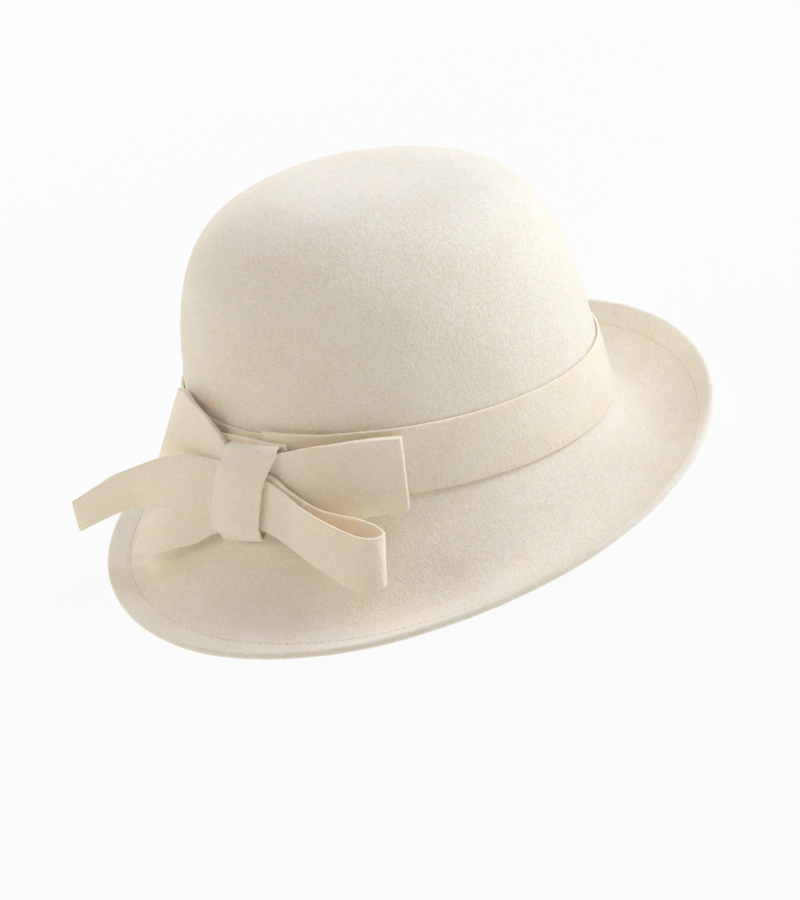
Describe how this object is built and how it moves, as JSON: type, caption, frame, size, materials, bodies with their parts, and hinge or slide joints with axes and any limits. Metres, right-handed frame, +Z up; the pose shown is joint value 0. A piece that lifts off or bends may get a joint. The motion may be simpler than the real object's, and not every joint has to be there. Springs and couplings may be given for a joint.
{
  "type": "cloche hat",
  "caption": "Cream felt cloche hat with a round crown, a bell brim with a turned-up stitched hem, a felt band and a lopsided felt bow.",
  "frame": {"origin": "on the surface that the brim rests on, under the middle of the hat", "axes": "+Z up, -Y the way the wearer faces, +X the wearer's left, where the bow sits"},
  "size_m": [0.2804, 0.2991, 0.1642],
  "materials": {
    "body_felt": "matt cream wool felt with a short nap",
    "band_felt": "matt warm cream felt, cut edges",
    "bow_felt": "matt warm cream felt, cut edges and pressed folds"
  },
  "bodies": {
    "root": {"felt_body": "body_felt", "hat_band": "band_felt", "bow_wing_front": "bow_felt", "bow_wing_back": "bow_felt", "bow_loop": "bow_felt", "bow_tail": "bow_felt", "bow_knot": "bow_felt"}
  },
  "joints": []
}
